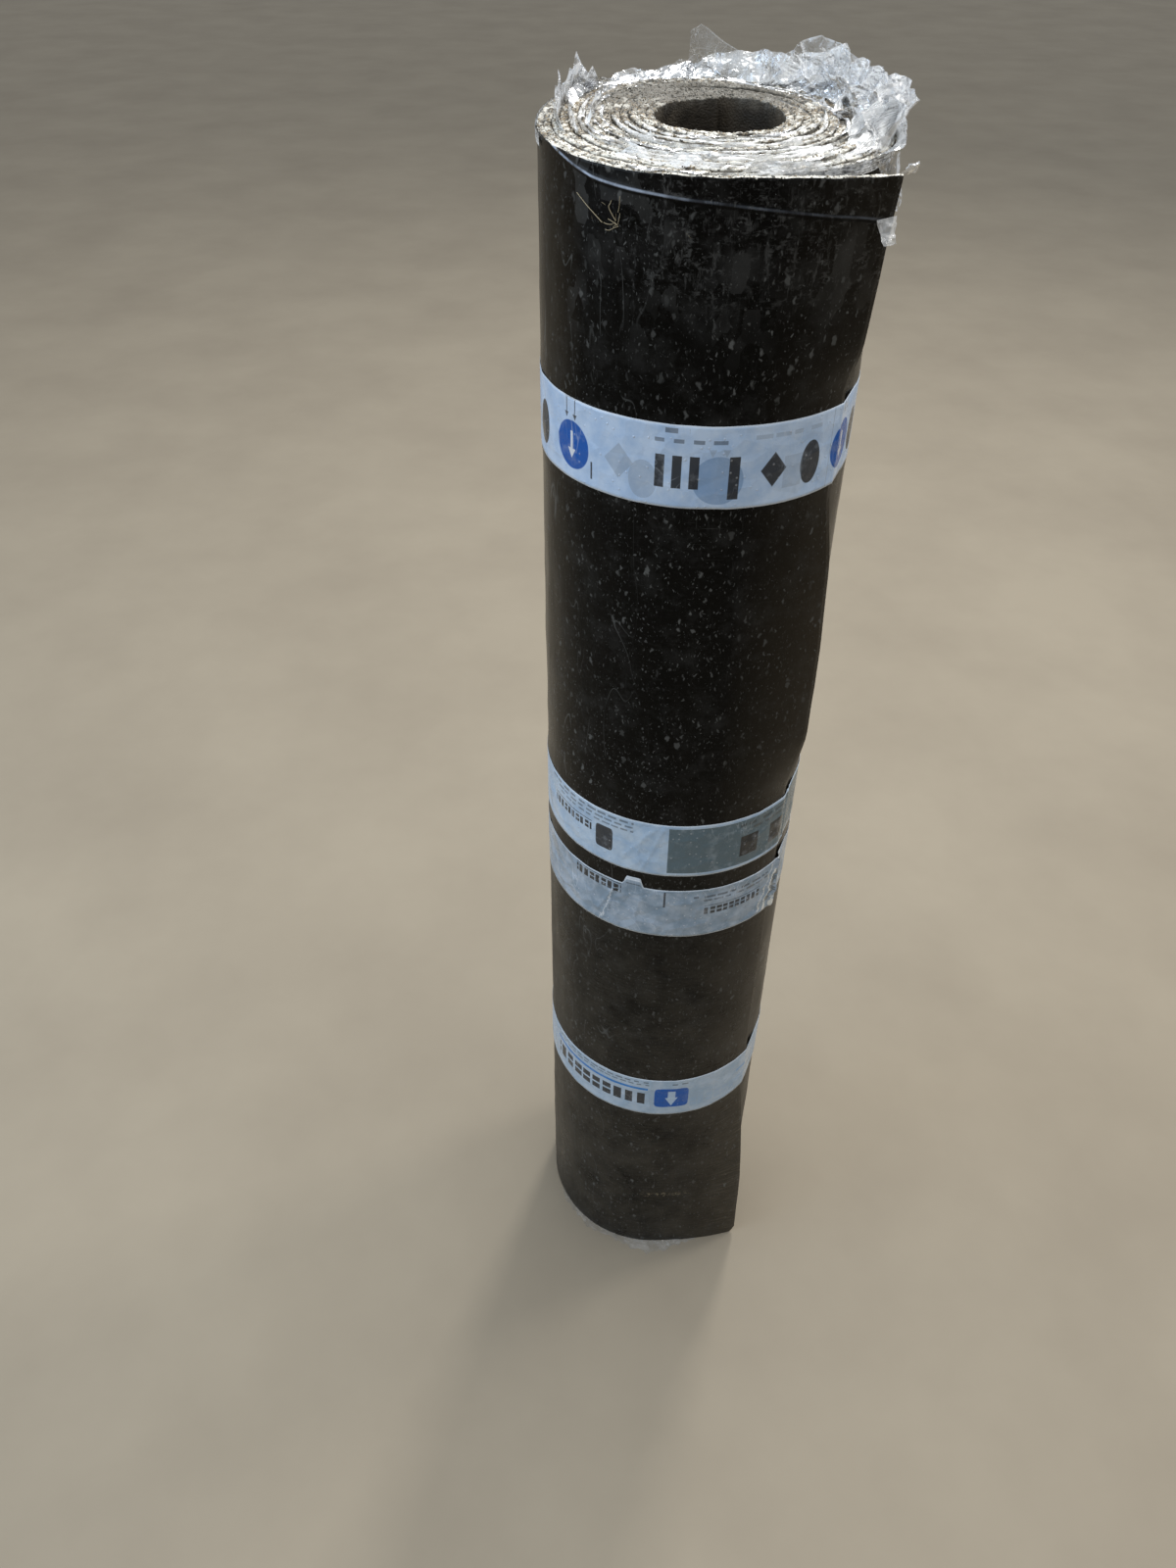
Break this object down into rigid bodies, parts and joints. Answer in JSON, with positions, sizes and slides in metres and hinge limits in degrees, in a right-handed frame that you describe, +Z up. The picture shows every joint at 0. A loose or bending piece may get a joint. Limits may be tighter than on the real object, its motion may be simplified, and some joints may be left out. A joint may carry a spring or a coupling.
{
  "type": "roll of roofing felt",
  "caption": "Standing roll of film-faced bitumen roofing felt with a central bore, a sprung free end, wrapped printed tapes and crumpled clear film on its upper end.",
  "frame": {"origin": "on the bore's axis, in the plane of the floor that the roll stands on", "axes": "+Z up along the bore, -Y towards the side that the free end of the sheet is seen from, +X to the right of that view"},
  "size_m": [0.1969, 0.2016, 1.03],
  "materials": {
    "bitumen_sheet": "glossy black film-faced bitumen, scuffed, with sandy mineral granules on the turn edges",
    "packing_tape": "thin glossy pale blue-white packing tape with plain printed bars",
    "clear_film": "crumpled clear plastic film with sharp glints"
  },
  "bodies": {
    "root": {"felt_roll": "bitumen_sheet", "bottom_tape": "packing_tape", "lower_middle_tape": "packing_tape", "upper_middle_tape": "packing_tape", "top_tape": "packing_tape", "end_film": "clear_film"}
  },
  "joints": []
}
